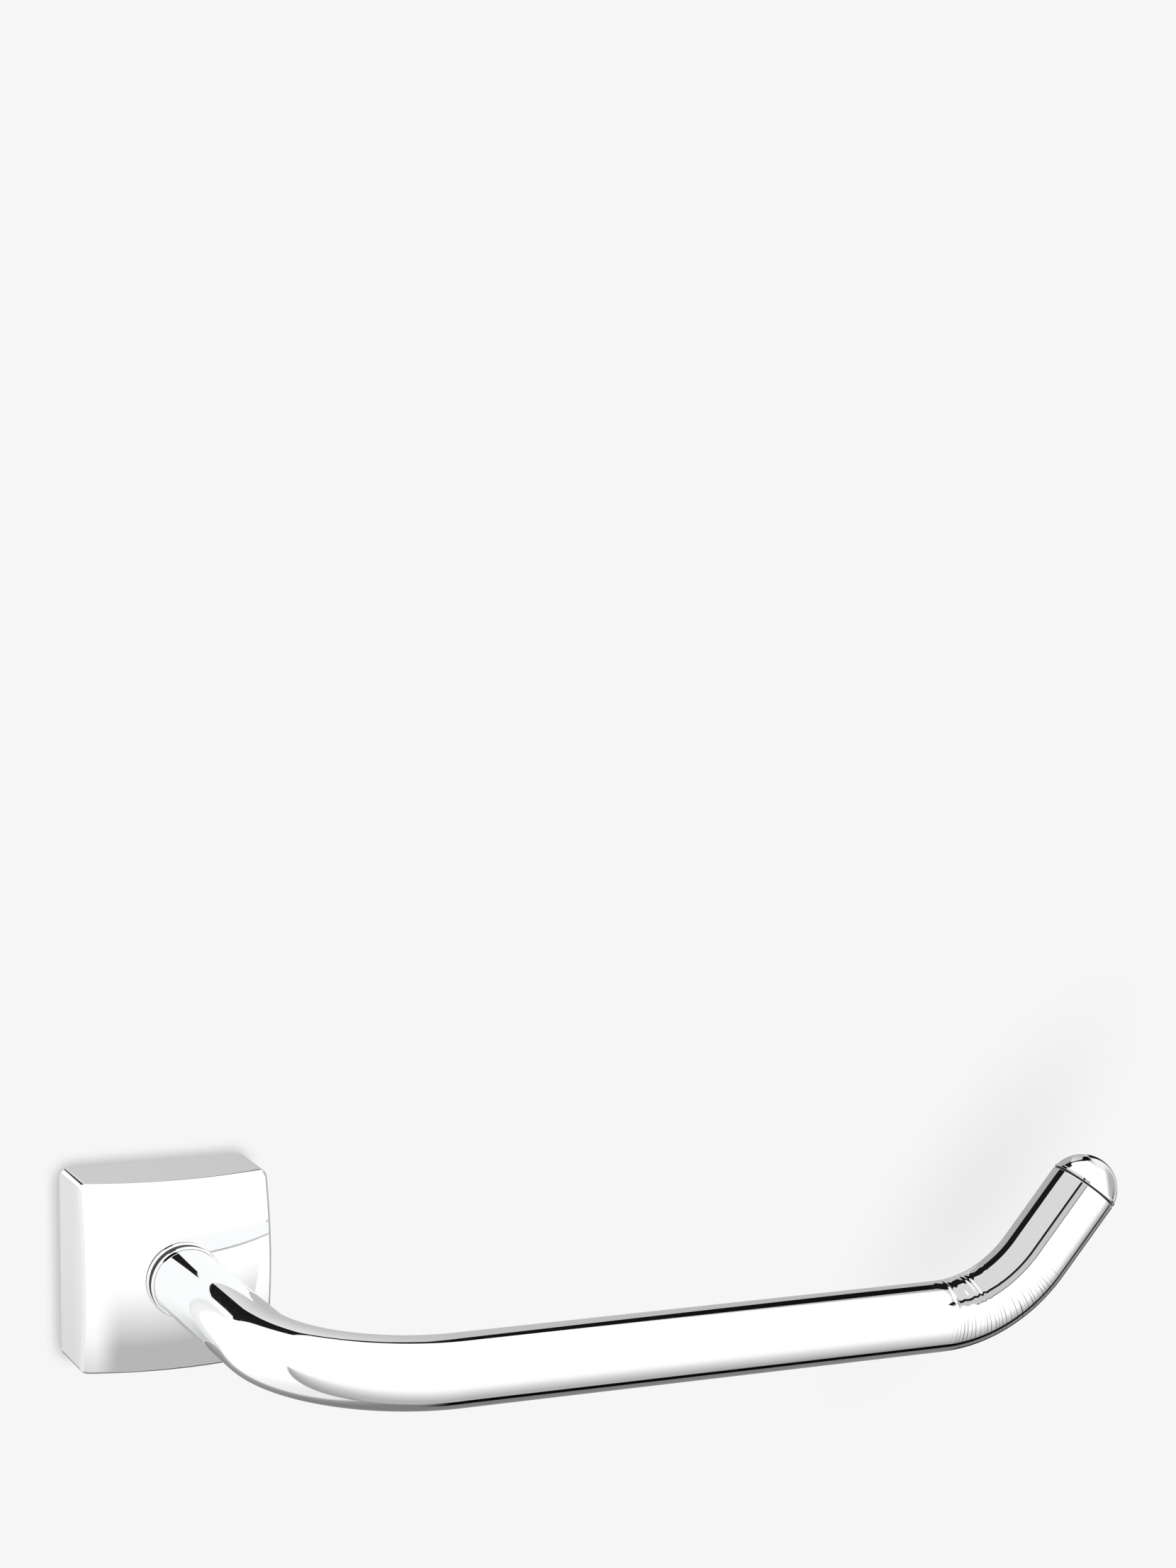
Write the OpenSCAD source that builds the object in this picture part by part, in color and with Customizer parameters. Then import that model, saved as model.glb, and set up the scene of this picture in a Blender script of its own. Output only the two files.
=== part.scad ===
// Wall-mounted roll holder: a square domed rose, one bent tube arm and a domed end cap.
// X runs along the bar, Y runs into the wall and Z is up. The wall's face is y = 0.
// The origin is the point on the wall's face behind the centre of the rose.

/* [Rose] */
// Side of the square rose
rose_w = 45; // [40:1:56]
// Depth of the rose, from the wall to the middle of each front edge
rose_edge_d = 18.5; // [17:0.5:24]
// Rise of the domed face from the middle of an edge to the centre
rose_bulge = 3.6; // [2:0.2:4.4]
// Radius of the rose's four long corners
rose_corner_r = 2; // [1:0.5:4]
// Wall of the rose casting
rose_wall = 2.4; // [2:0.2:3]

/* [Arm] */
// Outside diameter of the tube
tube_d = 16; // [13:0.5:20]
// Wall of the tube
tube_wall = 1.2; // [0.9:0.1:1.5]
// Distance from the wall to the bar's axis
reach = 103; // [85:1:130]
// Distance from the rose's axis to the point where the bar's and the tip's axes cross
bar_len = 165; // [130:1:260]
// Centreline radius of the large bend at the post
bend_r = 33; // [26:1:42]
// Centreline radius of the bend at the tip
tip_bend_r = 31; // [22:1:38]
// Angle that the tip rises above the bar
tip_angle = 52; // [30:1:65]
// Straight tube between the tip bend and the cap
tip_straight = 18.9; // [12:0.1:40]

/* [Collar and cap] */
// Wall of the collar ring around the tube's root
collar_wall = 0.8; // [0.6:0.1:1.5]
// Height of the collar ring above the rose's centre
collar_h = 2.9; // [2:0.1:5]
// Length of the end cap past the end of the tube
cap_len = 7.5; // [6:0.1:8.5]
// Width of the shadow gap between the tube and the cap
cap_gap = 0.4; // [0.2:0.1:0.8]
// Length of the spigot that holds the cap in the tube
spigot_len = 8; // [5:0.5:12]

/* [Wall fixing] */
// Sheet thickness of the wall bracket
bracket_t = 1.6; // [1.2:0.1:2]
// Depth of the wall bracket's rim
bracket_d = 8.4; // [6:0.2:9]
// Distance between the two wall screw holes
wall_hole_spacing = 22; // [18:1:24]
// Diameter of the wall screw holes
wall_hole_d = 5; // [4:0.5:5.5]
// Thickness of the gasket behind the bracket and the rose
gasket_t = 0.6; // [0.4:0.1:1.5]

/* [Fasteners] */
// Thread diameter of the screw that holds the arm
arm_screw_d = 5; // [4:1:5]
// Length of the arm screw under its head
arm_screw_len = 14; // [12:1:18]
// Thread diameter of the grub screw
grub_d = 4; // [3:1:4]
// Length of the grub screw
grub_len = 5; // [4:0.5:6]
// Diameter of the pin that stops the arm turning
pin_d = 2; // [1.5:0.5:2]
// Length of that pin
pin_len = 7; // [5:0.5:9]

/* [Hidden] */
$fn = 96;

chrome = [0.82, 0.83, 0.85];
zinc_plate = [0.66, 0.68, 0.70];
brass = [0.78, 0.62, 0.34];
rubber = [0.10, 0.10, 0.11];

cut = 1;                          // how far a cutting shape runs past the face it opens
thread_fit = 0.05;                // radial room of a thread, drawn as a plain cylinder
push_fit = 0.05;                  // radial room of a part pushed into a bore
slide_gap = 0.2;                  // room on each side between the rose and the bracket
hang_gap = 0.1;                   // room between the rose and the top of the bracket
seat_gap = 0.1;                   // room between the rose's back edge and the gasket

// rose
rose_half = rose_w / 2;
rose_apex_d = rose_edge_d + rose_bulge;
dome_r = (pow(rose_half, 2) + pow(rose_bulge, 2)) / (2 * rose_bulge);
rose_corner_d = rose_apex_d - dome_r + sqrt(pow(dome_r, 2) - 2 * pow(rose_half, 2));
rose_back = gasket_t + seat_gap;
cavity_w = rose_w - 2 * rose_wall;
cavity_r = max(rose_corner_r - rose_wall, 0.8);
cavity_d = rose_corner_d - rose_wall;

// seat of the arm in the rose, measured from the wall's face
seat_depth = 2.5;                 // how deep the tube stands in the rose
clamp_wall = 2.6;                 // metal between the tube's end and the washers
seat_d = rose_apex_d - seat_depth;
pocket_d = seat_d - clamp_wall;
washer_r = arm_screw_d;
washer_t = 1;
spring_r = 0.92 * arm_screw_d;
spring_t = 1.2;
spring_split = 1;
washer_hole_r = arm_screw_d / 2 + 0.15;
pocket_r = washer_r + 5;

// tube
tube_r = tube_d / 2;
bore_r = tube_r - tube_wall;
bend_y = bend_r - reach;          // where the post ends and the large bend starts
tip_setback = tip_bend_r * tan(tip_angle / 2);
bar_end = round((bar_len - tip_setback) * 100) / 100;  // where the tip bend starts, to 0.01 mm

// The tip's angle, moved by at most half a degree so that its sine and cosine are whole
// millionths, and the bend and the straight tip meet in one and the same circle.
function grid_sin(c) = round(1e6 * sqrt(1 - c * c)) / 1e6;
function on_grid(c) = abs(norm([c, grid_sin(c)]) - 1) < 2e-10;
first_cos = round(1e6 * cos(tip_angle)) / 1e6;
near_cos = [for (k = [0:6000]) if (on_grid(first_cos + k / 1e6)) first_cos + k / 1e6];
tip_turn = acos(near_cos[0]);
spare_angle = 20;                 // how far the tip bend is drawn before it is cut square

// collar
collar_r = tube_r + collar_wall;
collar_seat_d = rose_apex_d - 1.3;
collar_front_d = rose_apex_d + collar_h;
collar_base_d = rose_apex_d + 0.28 * collar_h;
collar_seal_r = tube_r + 0.5 * collar_wall;
collar_lip_r = tube_r + 0.6 * collar_wall;
collar_lip_h = 0.2 * collar_h;

// end cap
cap_edge = 0.4;
cap_neck_r = tube_r - 0.5;
cap_dome_h = cap_len - cap_gap - cap_edge;
cap_base_r = tube_r - 0.15;       // the dome starts inside a narrow ledge
cap_dome_r = (pow(cap_base_r, 2) + pow(cap_dome_h, 2)) / (2 * cap_dome_h);

// insert, pin and arm screw
insert_len = 15;
insert_r = bore_r - push_fit;
pin_offset = (arm_screw_d / 2 + insert_r) / 2;
head_seat_d = pocket_d - washer_t - spring_t;
head_r = 0.85 * arm_screw_d;
head_h = arm_screw_d;
head_hex = 0.8 * arm_screw_d;
head_socket_d = 0.5 * arm_screw_d;
screw_hole_r = arm_screw_d / 2 + 0.25;

// grub screw
grub_y = -(gasket_t + bracket_d) / 2 - 1;
grub_inset = 0.2;
grub_gap = 0.05;
grub_low = -rose_half + grub_inset;
grub_tip = grub_low + grub_len;
grub_point_h = 0.8;
grub_hex = grub_d / 2;
grub_socket_d = 2;

// bracket
bracket_half_w = cavity_w / 2 - slide_gap;
bracket_top = cavity_w / 2 - hang_gap;
bracket_low = grub_tip + grub_gap;
bracket_corner_r = 1.5;
gasket_half = rose_half - 0.6;
gasket_hole_d = wall_hole_d + 2;

// Turns a shape drawn along +Z so that it runs out from the wall.
module from_wall() {
  rotate([90, 0, 0]) children();
}

// A hexagonal prism, measured across its flats.
module hex_prism(flats, h) {
  cylinder(h = h, r = flats / sqrt(3), $fn = 6);
}

// A flat sheet with rounded corners, between two opposite corners of its outline.
module rounded_sheet(low, high, r) {
  translate([low.x + r, low.y]) square([high.x - low.x - 2 * r, high.y - low.y]);
  translate([low.x, low.y + r]) square([high.x - low.x, high.y - low.y - 2 * r]);
  for (x = [low.x + r, high.x - r], y = [low.y + r, high.y - r])
    translate([x, y]) circle(r);
}

// A plain rectangle between two opposite corners.
module square_between(low, high) {
  translate(low) square(high - low);
}

// A square block with rounded long corners that stands out from the wall, from depth d0 to d1.
module block(half, r, d0, d1) {
  from_wall() translate([0, 0, d0]) linear_extrude(d1 - d0)
    rounded_sheet([-half, -half], [half, half], r);
}

// A round rod that stands out from the wall, from depth d0 to d1.
module rod(r, d0, d1) {
  from_wall() translate([0, 0, d0]) cylinder(r = r, h = d1 - d0);
}

// Places its children at each wall screw hole.
module at_wall_holes() {
  for (z = [-wall_hole_spacing / 2, wall_hole_spacing / 2])
    translate([0, 0, z]) children();
}

module wall_gasket() {
  color(rubber) difference() {
    block(gasket_half, rose_corner_r, 0, gasket_t);
    at_wall_holes() rod(gasket_hole_d / 2, -cut, gasket_t + cut);
  }
}

// A pressed tray, open to the front, that the rose slides over.
module wall_bracket() {
  color(zinc_plate) difference() {
    from_wall() translate([0, 0, gasket_t]) linear_extrude(bracket_d)
      rounded_sheet([-bracket_half_w, bracket_low], [bracket_half_w, bracket_top],
                    bracket_corner_r);
    from_wall() translate([0, 0, gasket_t + bracket_t]) linear_extrude(bracket_d)
      square_between([-bracket_half_w + bracket_t, bracket_low + bracket_t],
                     [bracket_half_w - bracket_t, bracket_top - bracket_t]);
    at_wall_holes() rod(wall_hole_d / 2, gasket_t - cut, gasket_t + bracket_t + cut);
  }
}

module rose_cover() {
  color(chrome) difference() {
    intersection() {
      block(rose_half, rose_corner_r, rose_back, rose_apex_d + cut);
      translate([0, dome_r - rose_apex_d, 0]) sphere(r = dome_r, $fn = 240);
    }
    block(cavity_w / 2, cavity_r, rose_back - cut, cavity_d);
    rod(pocket_r, cavity_d - cut, pocket_d);
    rod(screw_hole_r, pocket_d - cut, seat_d + cut);
    rod(tube_r + push_fit, seat_d, rose_apex_d + cut);
    rod(collar_r + push_fit, collar_seat_d, rose_apex_d + cut);
    translate([-pin_offset, 0, 0]) rod(pin_d / 2 + push_fit, pocket_d - cut, seat_d + cut);
    translate([0, grub_y, -rose_half - cut])
      cylinder(r = grub_d / 2 + thread_fit, h = rose_wall + 2 * cut);
  }
}

module grub_screw() {
  color(zinc_plate) translate([0, grub_y, grub_low]) difference() {
    union() {
      cylinder(r = grub_d / 2, h = grub_len - grub_point_h);
      translate([0, 0, grub_len - grub_point_h])
        cylinder(r1 = grub_d / 2, r2 = grub_d / 4, h = grub_point_h);
    }
    translate([0, 0, -cut]) hex_prism(grub_hex, grub_socket_d + cut);
  }
}

// A ring pushed over the tube, from depth d0 to d1.
module tube_ring(r, d0, d1) {
  difference() {
    rod(r, d0, d1);
    rod(tube_r + push_fit, d0 - cut, d1 + cut);
  }
}

// The turned ring that stands in the rose.
module collar_ring() {
  color(chrome) tube_ring(collar_r, collar_seat_d, collar_base_d);
}

// The dark seal between the ring and the lip.
module collar_seal() {
  color(rubber) tube_ring(collar_seal_r, collar_base_d, collar_front_d - collar_lip_h);
}

// The thin lip that closes the collar.
module collar_lip() {
  color(chrome) tube_ring(collar_lip_r, collar_front_d - collar_lip_h, collar_front_d);
}

// Places its children at the tip bend's centre, turned so that +X points at the start of the
// bend for angle 0, or at its end for the whole tip angle.
module at_tip_bend(angle) {
  translate([bar_end, -reach, tip_bend_r]) rotate([90, 0, 0]) rotate([0, 0, -90])
    rotate([0, 0, angle]) children();
}

// The tip bend, cut off square where the tip starts.
module tip_bend(r) {
  difference() {
    at_tip_bend(0) rotate_extrude(angle = tip_turn + spare_angle) translate([tip_bend_r, 0])
      circle(r);
    at_tip_bend(tip_turn) translate([0, 0, -tip_bend_r]) cube(2 * tip_bend_r);
  }
}

// Places its children at the end of the tip bend, with +Z along the tip.
module at_tip_start() {
  at_tip_bend(tip_turn) translate([tip_bend_r, 0, 0]) rotate([-90, 0, 0]) children();
}

// The arm's path as a solid of radius r: post, large bend, bar, tip bend and tip.
module arm_path(r, root_extra, tip_extra) {
  rod(r, seat_d - root_extra, -bend_y);
  translate([bend_r, bend_y, 0]) rotate([0, 0, 180]) rotate_extrude(angle = 90)
    translate([bend_r, 0]) circle(r);
  translate([bend_r, -reach, 0]) rotate([0, 90, 0]) cylinder(r = r, h = bar_end - bend_r);
  tip_bend(r);
  at_tip_start() cylinder(r = r, h = tip_straight + tip_extra);
}

module arm_tube() {
  color(chrome) difference() {
    arm_path(tube_r, 0, 0);
    arm_path(bore_r, cut, cut);
  }
}

module end_cap() {
  color(chrome) at_tip_start() translate([0, 0, tip_straight]) {
    translate([0, 0, -spigot_len]) cylinder(r = bore_r - push_fit, h = spigot_len);
    cylinder(r = cap_neck_r, h = cap_gap);
    translate([0, 0, cap_gap]) cylinder(r = tube_r, h = cap_edge);
    intersection() {
      translate([0, 0, cap_len - cap_dome_r]) sphere(r = cap_dome_r);
      translate([0, 0, cap_gap + cap_edge]) cylinder(r = tube_d, h = cap_len);
    }
  }
}

// A plug brazed into the tube's root, tapped for the arm screw and drilled for the pin.
module tube_insert() {
  color(brass) difference() {
    rod(insert_r, seat_d, seat_d + insert_len);
    rod(arm_screw_d / 2 + thread_fit, seat_d - cut, seat_d + insert_len + cut);
    translate([-pin_offset, 0, 0])
      rod(pin_d / 2 + push_fit, seat_d - cut, pocket_d + pin_len + push_fit);
  }
}

module anti_rotation_pin() {
  color(zinc_plate) translate([-pin_offset, 0, 0]) rod(pin_d / 2, pocket_d, pocket_d + pin_len);
}

module flat_washer() {
  color(zinc_plate) difference() {
    rod(washer_r, pocket_d - washer_t, pocket_d);
    rod(washer_hole_r, pocket_d - washer_t - cut, pocket_d + cut);
  }
}

module spring_washer() {
  color(zinc_plate) difference() {
    rod(spring_r, head_seat_d, head_seat_d + spring_t);
    rod(washer_hole_r, head_seat_d - cut, head_seat_d + spring_t + cut);
    from_wall() translate([0, -spring_split / 2, head_seat_d - cut])
      cube([2 * spring_r, spring_split, spring_t + 2 * cut]);
  }
}

module arm_fixing_screw() {
  color(zinc_plate) difference() {
    union() {
      rod(head_r, head_seat_d - head_h, head_seat_d);
      rod(arm_screw_d / 2, head_seat_d, head_seat_d + arm_screw_len);
    }
    from_wall() translate([0, 0, head_seat_d - head_h - cut])
      hex_prism(head_hex, head_socket_d + cut);
  }
}

wall_gasket();
wall_bracket();
rose_cover();
grub_screw();
collar_ring();
collar_seal();
collar_lip();
arm_tube();
end_cap();
tube_insert();
anti_rotation_pin();
flat_washer();
spring_washer();
arm_fixing_screw();
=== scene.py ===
"""Wall-mounted roll holder: detailed pieces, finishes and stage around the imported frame."""
import math

import bmesh
import bpy
from bpy.props import FloatProperty, FloatVectorProperty, IntProperty, PointerProperty
from mathutils import Matrix, Vector


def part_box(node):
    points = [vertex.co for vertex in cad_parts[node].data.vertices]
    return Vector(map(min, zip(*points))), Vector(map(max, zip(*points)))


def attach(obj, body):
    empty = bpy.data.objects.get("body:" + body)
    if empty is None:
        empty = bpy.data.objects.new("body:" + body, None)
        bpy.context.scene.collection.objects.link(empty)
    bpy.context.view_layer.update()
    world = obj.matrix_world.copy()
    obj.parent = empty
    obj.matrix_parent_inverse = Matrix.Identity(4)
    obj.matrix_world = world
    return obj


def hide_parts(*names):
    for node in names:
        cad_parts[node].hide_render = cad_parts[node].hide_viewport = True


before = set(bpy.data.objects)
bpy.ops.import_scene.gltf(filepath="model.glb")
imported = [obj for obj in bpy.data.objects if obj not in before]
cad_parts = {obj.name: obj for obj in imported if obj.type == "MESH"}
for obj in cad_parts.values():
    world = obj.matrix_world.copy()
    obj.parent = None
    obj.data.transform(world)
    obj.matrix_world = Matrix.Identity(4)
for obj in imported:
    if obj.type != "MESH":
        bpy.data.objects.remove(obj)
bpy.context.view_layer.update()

bl_info = {
    "name": "Wall-mounted roll holder",
    "version": (1, 0, 0),
    "blender": (4, 5, 0),
    "location": "3D View > Sidebar > Roll holder",
    "description": "Builds the rose, collar, bent arm and cap of a chromed roll holder",
    "category": "Object",
}

MM = 0.001
SHARP = math.radians(32)          # edges that fold more than this stay sharp
TOUCH = 0.01 * MM                 # slack when faces are picked by place
DOUBLES = 1e-7                    # vertices nearer than this are one
GRID_MARGIN = 0.5 * MM            # between the dome's cuts and the rose's corner rounding

# The collar, in metres.
COLLAR_PLAY = 0.05 * MM           # between the tube and the collar
GROOVE_BACK = 0.68 * MM           # back of the groove that is painted dark as shade, behind the rose's apex
GROOVE_WIDE = 0.45 * MM
GROOVE_DEEP = 0.2 * MM

# Cuts along the tube.
POST_CUTS, BEND_CUTS, BAR_CUTS, TIP_BEND_CUTS, TIP_CUTS, RIM_CUTS = 12, 64, 24, 190, 6, 4
TUBE_RIM = 0.2 * MM               # rounding of the tube's end

# The die mark and the folds inside the tip bend, as shares of the bend's angle.
DIE_AT, DIE_HALF, DIE_HEIGHT = 0.045, 0.012, 1.3
FOLDS_FROM, FOLDS_TO, FOLDS_LIMIT = 0.09, 0.62, 0.7
FOLDS_COUNT = 12.5

# The stage. Levels are linear greys.
WORLD_LEVEL = 1.12
BLACK = 0.012
SECOND_LOOK = 2.5                 # ray depths past this have met two surfaces
THIRD_LOOK = 3.5                  # and past this, three
CARD_SIGHT = 0.06                 # rays longer than this pass through the tip's cards
VIEW_SIDE = 30                    # degrees round the tip, from straight out to the camera
FLOOR_HALF, FLOOR_LEVEL = 8.0, -1.2

# Places that come from the frame, in metres. Depths are measured out from the wall.
ROSE_LOW, ROSE_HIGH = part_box("rose_cover")
TUBE_LOW, TUBE_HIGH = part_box("arm_tube")
WASHER_LOW, WASHER_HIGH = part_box("flat_washer")
GRUB_LOW, GRUB_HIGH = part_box("grub_screw")
ROSE_HALF = ROSE_HIGH.x
ROSE_BACK = -ROSE_HIGH.y
TUBE_R = -TUBE_LOW.z
REACH = -TUBE_LOW.y - TUBE_R
SEAT_DEPTH = -TUBE_HIGH.y
POCKET_DEPTH = -WASHER_LOW.y
GRUB_R = (GRUB_HIGH.x - GRUB_LOW.x) / 2
GRUB_Y = (GRUB_HIGH.y + GRUB_LOW.y) / 2
HOLDER = "holder"


def length(name, default, about):
    return FloatProperty(name=name, description=about, default=default, min=0.0,
                         unit="LENGTH", subtype="DISTANCE", precision=5)


class RoseSizes(bpy.types.PropertyGroup):
    """Sizes of the square rose"""
    apex: length("Apex depth", 22.1 * MM, "Depth of the dome's middle from the wall")
    bulge: length("Bulge", 3.6 * MM, "Rise of the dome from the middle of an edge")
    corner: length("Corner radius", 2.0 * MM, "Radius of the four long corners")
    edge: length("Edge radius", 0.75 * MM, "Rounding round the domed face")
    wall: length("Wall", 2.4 * MM, "Thickness of the casting")
    grid: IntProperty(name="Dome grid", description="Cuts across the dome each way",
                      default=33, min=9, max=81)


class ArmSizes(bpy.types.PropertyGroup):
    """Sizes of the bent tube and its fittings"""
    wall: length("Tube wall", 1.2 * MM, "Wall of the tube")
    bend: length("Large bend", 33.0 * MM, "Centreline radius of the bend at the post")
    bar_end: length("Bar end", 149.88 * MM, "Where the tip bend starts")
    tip_bend: length("Tip bend", 31.0 * MM, "Centreline radius of the tip bend")
    tip_angle: FloatProperty(name="Tip angle", description="Rise of the tip above the bar",
                             default=math.radians(51.99974), unit="ROTATION",
                             subtype="ANGLE")
    tip: length("Tip", 18.9 * MM, "Straight tube between the tip bend and the cap")
    cap: length("Cap", 7.5 * MM, "Length of the cap past the end of the tube")
    gap: length("Gap", 0.4 * MM, "Shadow gap between the tube and the cap")
    wrinkle: length("Wrinkle", 0.036 * MM, "Height of the folds inside the tip bend")
    sides: IntProperty(name="Sides", description="Sides of the tube's section",
                       default=96, min=24, max=192)


class FinishColours(bpy.types.PropertyGroup):
    """Colours of the finishes and the stage"""
    chrome: FloatVectorProperty(name="Chrome", description="Reflected colour of the plating",
                                default=(0.93, 0.935, 0.94), subtype="COLOR", min=0, max=1)
    zinc: FloatVectorProperty(name="Zinc plate", description="Colour of the plated steel",
                              default=(0.62, 0.65, 0.68), subtype="COLOR", min=0, max=1)
    brass: FloatVectorProperty(name="Brass", description="Colour of the turned brass",
                               default=(0.78, 0.56, 0.25), subtype="COLOR", min=0, max=1)
    rubber: FloatVectorProperty(name="Rubber", description="Colour of the gasket",
                                default=(0.022, 0.022, 0.024), subtype="COLOR", min=0, max=1)
    paper: FloatVectorProperty(name="Backdrop", description="Colour of the floor and surround",
                               default=(0.922, 0.922, 0.922), subtype="COLOR", min=0, max=1)


# ---------------------------------------------------------------- node helpers

class Tree:
    """A short way to add and join shader nodes."""

    def __init__(self, owner):
        owner.use_nodes = True
        self.tree = owner.node_tree
        self.tree.nodes.clear()

    def put(self, socket, value):
        """Joins a socket to an input, or gives the input a plain value."""
        if isinstance(value, bpy.types.NodeSocket):
            self.tree.links.new(value, socket)
        else:
            socket.default_value = value

    def add(self, kind, *inputs, **settings):
        node = self.tree.nodes.new("ShaderNode" + kind)
        named = settings.pop("named", {})
        for key, value in settings.items():
            setattr(node, key, value)
        for key, value in list(enumerate(inputs)) + list(named.items()):
            self.put(node.inputs[key], value)
        return node

    def math(self, operation, *inputs):
        return self.add("Math", *inputs, operation=operation).outputs[0]

    def times(self, first, *others):
        """The product of two or more numbers."""
        for other in others:
            first = self.math("MULTIPLY", first, other)
        return first

    def most(self, first, *others):
        """The largest of two or more numbers."""
        for other in others:
            first = self.math("MAXIMUM", first, other)
        return first

    def vector(self, operation, *inputs):
        node = self.add("VectorMath", *inputs, operation=operation)
        return node.outputs["Value" if operation in ("LENGTH", "DISTANCE") else "Vector"]

    def ramp(self, value, *stops):
        """A grey for each place from 0 to 1, in straight lines between the stops."""
        node = self.add("ValToRGB", value)
        elements = node.color_ramp.elements
        elements[0].position = stops[0][0]
        elements[1].position = stops[-1][0]
        for element, (_, shade) in zip((elements[0], elements[1]), (stops[0], stops[-1])):
            element.color = (shade, shade, shade, 1.0)
        for at, shade in stops[1:-1]:
            elements.new(at).color = (shade, shade, shade, 1.0)
        return node.outputs[0]

    def mapped(self, value, low, high, to_low, to_high, smooth=True):
        """value from low..high to to_low..to_high, clamped."""
        node = self.add("MapRange", value, low, high, to_low, to_high)
        node.interpolation_type = "SMOOTHSTEP" if smooth else "LINEAR"
        return node.outputs[0]

    def mix(self, factor, one, other, data_type="FLOAT"):
        """one where factor is 0, other where it is 1, as numbers or as RGBA colours."""
        node = self.add("Mix", data_type=data_type)
        first_input, output = {"FLOAT": (2, 0), "RGBA": (6, 2)}[data_type]
        for index, value in ((0, factor), (first_input, one), (first_input + 1, other)):
            self.put(node.inputs[index], value)
        return node.outputs[output]

    def noise(self, vector, scale, detail=2.0, rough=0.5):
        return self.add("TexNoise", vector, named={"Scale": scale, "Detail": detail,
                                                   "Roughness": rough}).outputs[0]

    def object_place(self):
        """The shaded point in the object's own space."""
        return self.add("TexCoord").outputs["Object"]

    def grey_glow(self, shade):
        """An emission in a grey, given as a number or as a socket."""
        if isinstance(shade, bpy.types.NodeSocket):
            colour = self.add("CombineColor", shade, shade, shade).outputs[0]
        else:
            colour = (shade, shade, shade, 1.0)
        return self.add("Emission", colour, 1.0)

    def show_either(self, factor, one, other):
        """The material output: the node one where factor is 0, the node other where it is 1."""
        both = self.add("MixShader", factor, one.outputs[0], other.outputs[0])
        self.add("OutputMaterial", both.outputs[0])


def new_material(name):
    material = bpy.data.materials.new(name)
    return material, Tree(material)


def principled(tree, colour, metallic, roughness, strength, distance, height):
    """The shader and the output, with a bump of that strength and distance."""
    bump = tree.add("Bump", named={"Strength": strength, "Distance": distance,
                                   "Height": height})
    node = tree.add("BsdfPrincipled", named={"Base Color": colour, "Metallic": metallic,
                                             "Roughness": roughness, "Normal": bump.outputs[0]})
    tree.add("OutputMaterial", node.outputs[0])


def rgba(colour, share=1.0):
    return (*(channel * share for channel in colour), 1.0)


def fine_scratches(tree, place, turn, stretch, scale):
    """Sparse hairlines: 1 on a scratch and 0 elsewhere."""
    mapping = tree.add("Mapping", place, named={"Rotation": turn, "Scale": stretch})
    wave = tree.noise(mapping.outputs[0], scale, 3.0, 0.6)
    return tree.mapped(wave, 0.66, 0.72, 0.0, 1.0)


def chrome_material(name, colour, bends=False):
    """Polished chrome: faint smudges, hairlines and, on the tube, the tip bend's marks."""
    material, tree = new_material(name)
    place = tree.object_place()
    smudge = tree.noise(place, 55.0, 4.0, 0.6)
    speck = tree.mapped(tree.noise(place, 2600.0, 1.0), 0.74, 0.80, 0.0, 1.0)
    lines = fine_scratches(tree, place, (0.3, 0.5, 0.9), (1.0, 14.0, 14.0), 160.0)
    rough = tree.mapped(smudge, 0.35, 0.75, 0.018, 0.045)
    rough = tree.math("MULTIPLY_ADD", lines, 0.05, rough)
    height = tree.math("MULTIPLY_ADD", lines, -0.35, tree.times(speck, -0.5))
    if bends:
        marks = bend_marks(tree, place)
        rough = tree.math("MULTIPLY_ADD", marks, 0.10, rough)
        height = tree.math("MULTIPLY_ADD", marks, -1.0, height)
    wander = tree.noise(place, 38.0, 1.0)
    height = tree.math("MULTIPLY_ADD", wander, 1.5, height)
    tone = tree.mix(smudge, rgba(colour, 0.985), rgba(colour), "RGBA")
    if bends:
        tone = tree.mix(tree.times(marks, 0.9), tone, rgba(colour, 0.12), "RGBA")
    principled(tree, tone, 1.0, rough, 0.25, 0.012 * MM, height)
    return material


def bend_marks(tree, place):
    """Hairlines that fan out across the outside of the tip bend."""
    arm = bpy.context.scene.holder_arm
    centre = (arm.bar_end, 0.0, arm.tip_bend)
    away = tree.vector("SUBTRACT", place, centre)
    parts = tree.add("SeparateXYZ", away)
    turn = tree.math("ARCTAN2", parts.outputs[0], tree.times(parts.outputs[2], -1.0))
    radius = tree.vector("LENGTH", tree.vector("MULTIPLY", away, (1.0, 0.0, 1.0)))
    uneven_at = tree.add("CombineXYZ", tree.times(turn, 19.0),
                         tree.times(parts.outputs[1], 25.0), 0.0)
    wander = tree.noise(uneven_at.outputs[0], 1.0, 2.0)
    ripple = tree.math("SINE", tree.math("MULTIPLY_ADD", wander, 9.0, tree.times(turn, 205.0)))
    lines = tree.mapped(ripple, 0.76, 0.97, 0.0, 1.0)
    fade_at = tree.add("CombineXYZ", tree.times(turn, 70.0), 0.0, 0.0)
    fade = tree.noise(fade_at.outputs[0], 1.0, 0.0)
    lines = tree.times(lines, tree.mapped(fade, 0.38, 0.55, 0.35, 1.0))
    within = tree.times(tree.mapped(turn, -0.06, 0.06, 0.0, 1.0),
                        tree.mapped(turn, arm.tip_angle - 0.15, arm.tip_angle + 0.05, 1.0, 0.0))
    uneven = tree.math("MULTIPLY_ADD", wander, 5.0 * MM, radius)
    outside = tree.mapped(uneven, arm.tip_bend + 0.6 * MM, arm.tip_bend + 4.2 * MM, 0.0, 1.0)
    return tree.times(within, outside, lines)


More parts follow.
